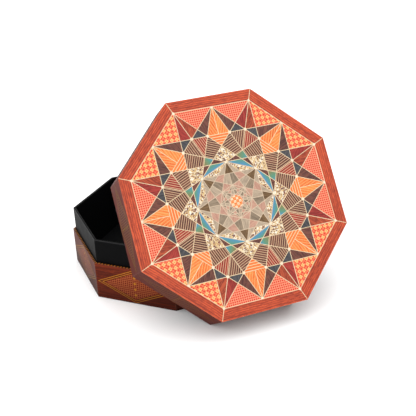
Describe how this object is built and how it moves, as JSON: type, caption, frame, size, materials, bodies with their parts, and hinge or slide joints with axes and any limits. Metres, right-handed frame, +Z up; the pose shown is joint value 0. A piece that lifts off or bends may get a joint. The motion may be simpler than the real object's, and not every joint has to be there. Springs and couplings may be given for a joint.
{
  "type": "keepsake box",
  "caption": "Octagonal rigid-board keepsake box, open: a printed tray with a black inner collar standing proud of it, and a loose printed lid leaning in front of it on one edge of its rim.",
  "frame": {"origin": "centre of the tray's underside, on the surface that the box stands on", "axes": "+Z up; the tray's flats face the X and Y axes and the diagonals between them; the lid leans in front of the tray, on its -Y side"},
  "size_m": [0.1976, 0.2394, 0.1672],
  "materials": {
    "tray_print": "board wrapped in satin printed paper, dark red-brown wood grain with fine ochre lines",
    "collar_paper": "board wrapped in matt black paper",
    "floor_card": "matt black card",
    "lid_print": "board wrapped in satin printed paper, geometric inlay pattern in orange, red, brown and cream"
  },
  "bodies": {
    "root": {"base_tray": "tray_print", "neck_collar": "collar_paper", "floor_liner": "floor_card", "lid": "lid_print"}
  },
  "joints": []
}
